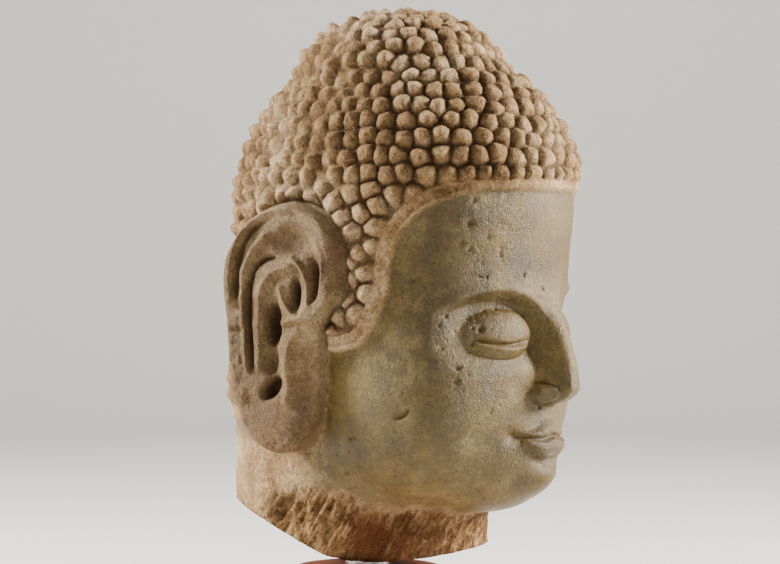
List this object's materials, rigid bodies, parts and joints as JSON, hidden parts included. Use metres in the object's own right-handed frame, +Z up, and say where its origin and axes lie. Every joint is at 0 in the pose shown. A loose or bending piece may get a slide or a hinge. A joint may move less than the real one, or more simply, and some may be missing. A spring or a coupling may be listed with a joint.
{
  "type": "buddha head sculpture",
  "caption": "Carved stone head of a buddha with rows of snail-shell curls and a broken neck, held up by a steel rod in a round turned wooden socle.",
  "frame": {"origin": "centre of the socle's underside, on the rod's axis", "axes": "+Z up along the rod, the face looks along -Y, the statue's left is +X"},
  "size_m": [0.1899, 0.2164, 0.3773],
  "materials": {
    "carved_stone": "weathered sandy stone, the face smoother and a little glossy",
    "rod_steel": "polished round bar",
    "socle_wood": "red-brown stained and polished"
  },
  "bodies": {
    "root": {"stone_head": "carved_stone", "steel_rod": "rod_steel", "wood_socle": "socle_wood"}
  },
  "joints": []
}
